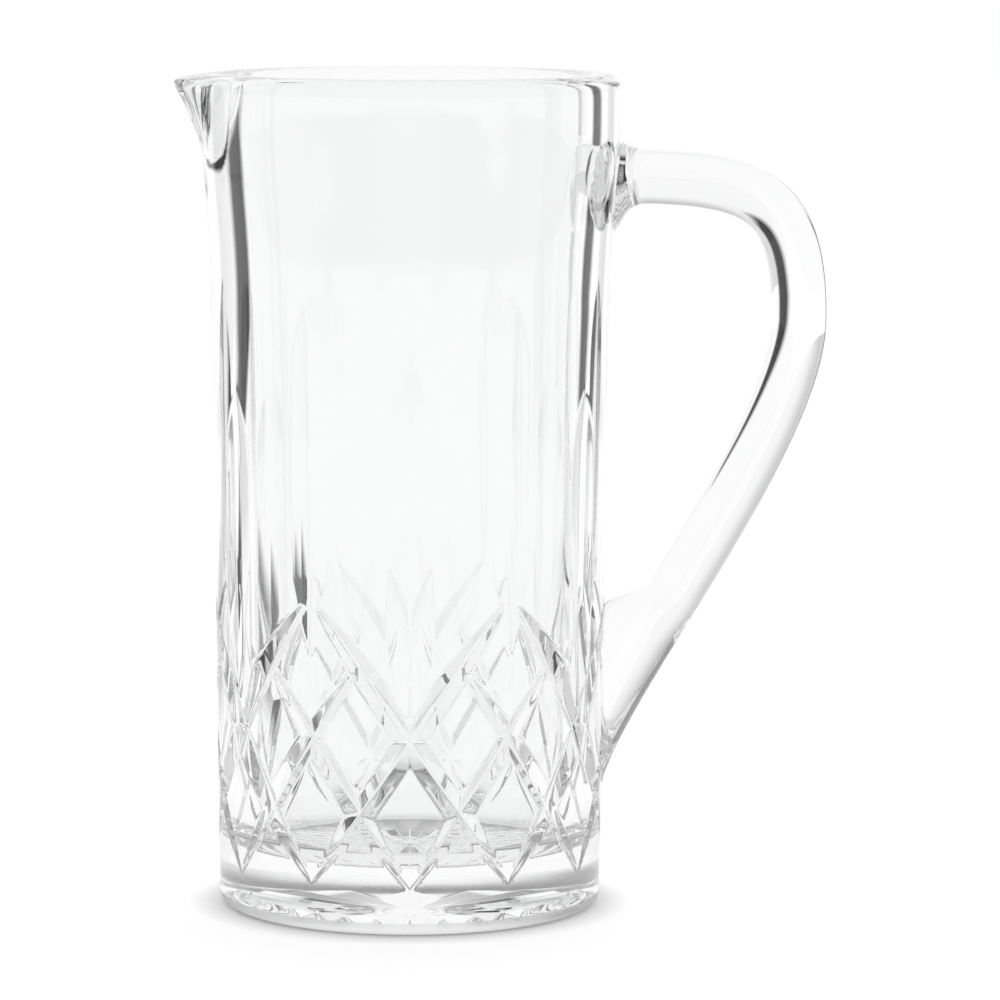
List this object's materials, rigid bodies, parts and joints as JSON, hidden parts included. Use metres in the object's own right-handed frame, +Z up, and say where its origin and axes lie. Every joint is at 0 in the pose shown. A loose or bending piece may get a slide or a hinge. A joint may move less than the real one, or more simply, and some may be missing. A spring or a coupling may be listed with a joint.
{
  "type": "cocktail pitcher",
  "caption": "Tall straight-sided clear glass pitcher with a pulled pouring spout, a curved solid handle, vertical flutes and a band of diamond lattice cuts above a thick base.",
  "frame": {"origin": "centre of the underside of the foot, on the vessel's axis", "axes": "+Z up along the vessel's axis, +X towards the handle, -X towards the spout, -Y towards the viewer of the picture"},
  "size_m": [0.176, 0.1122, 0.225],
  "materials": {
    "glass": "clear, fire polished"
  },
  "bodies": {
    "root": {"vessel": "glass", "handle": "glass"}
  },
  "joints": []
}
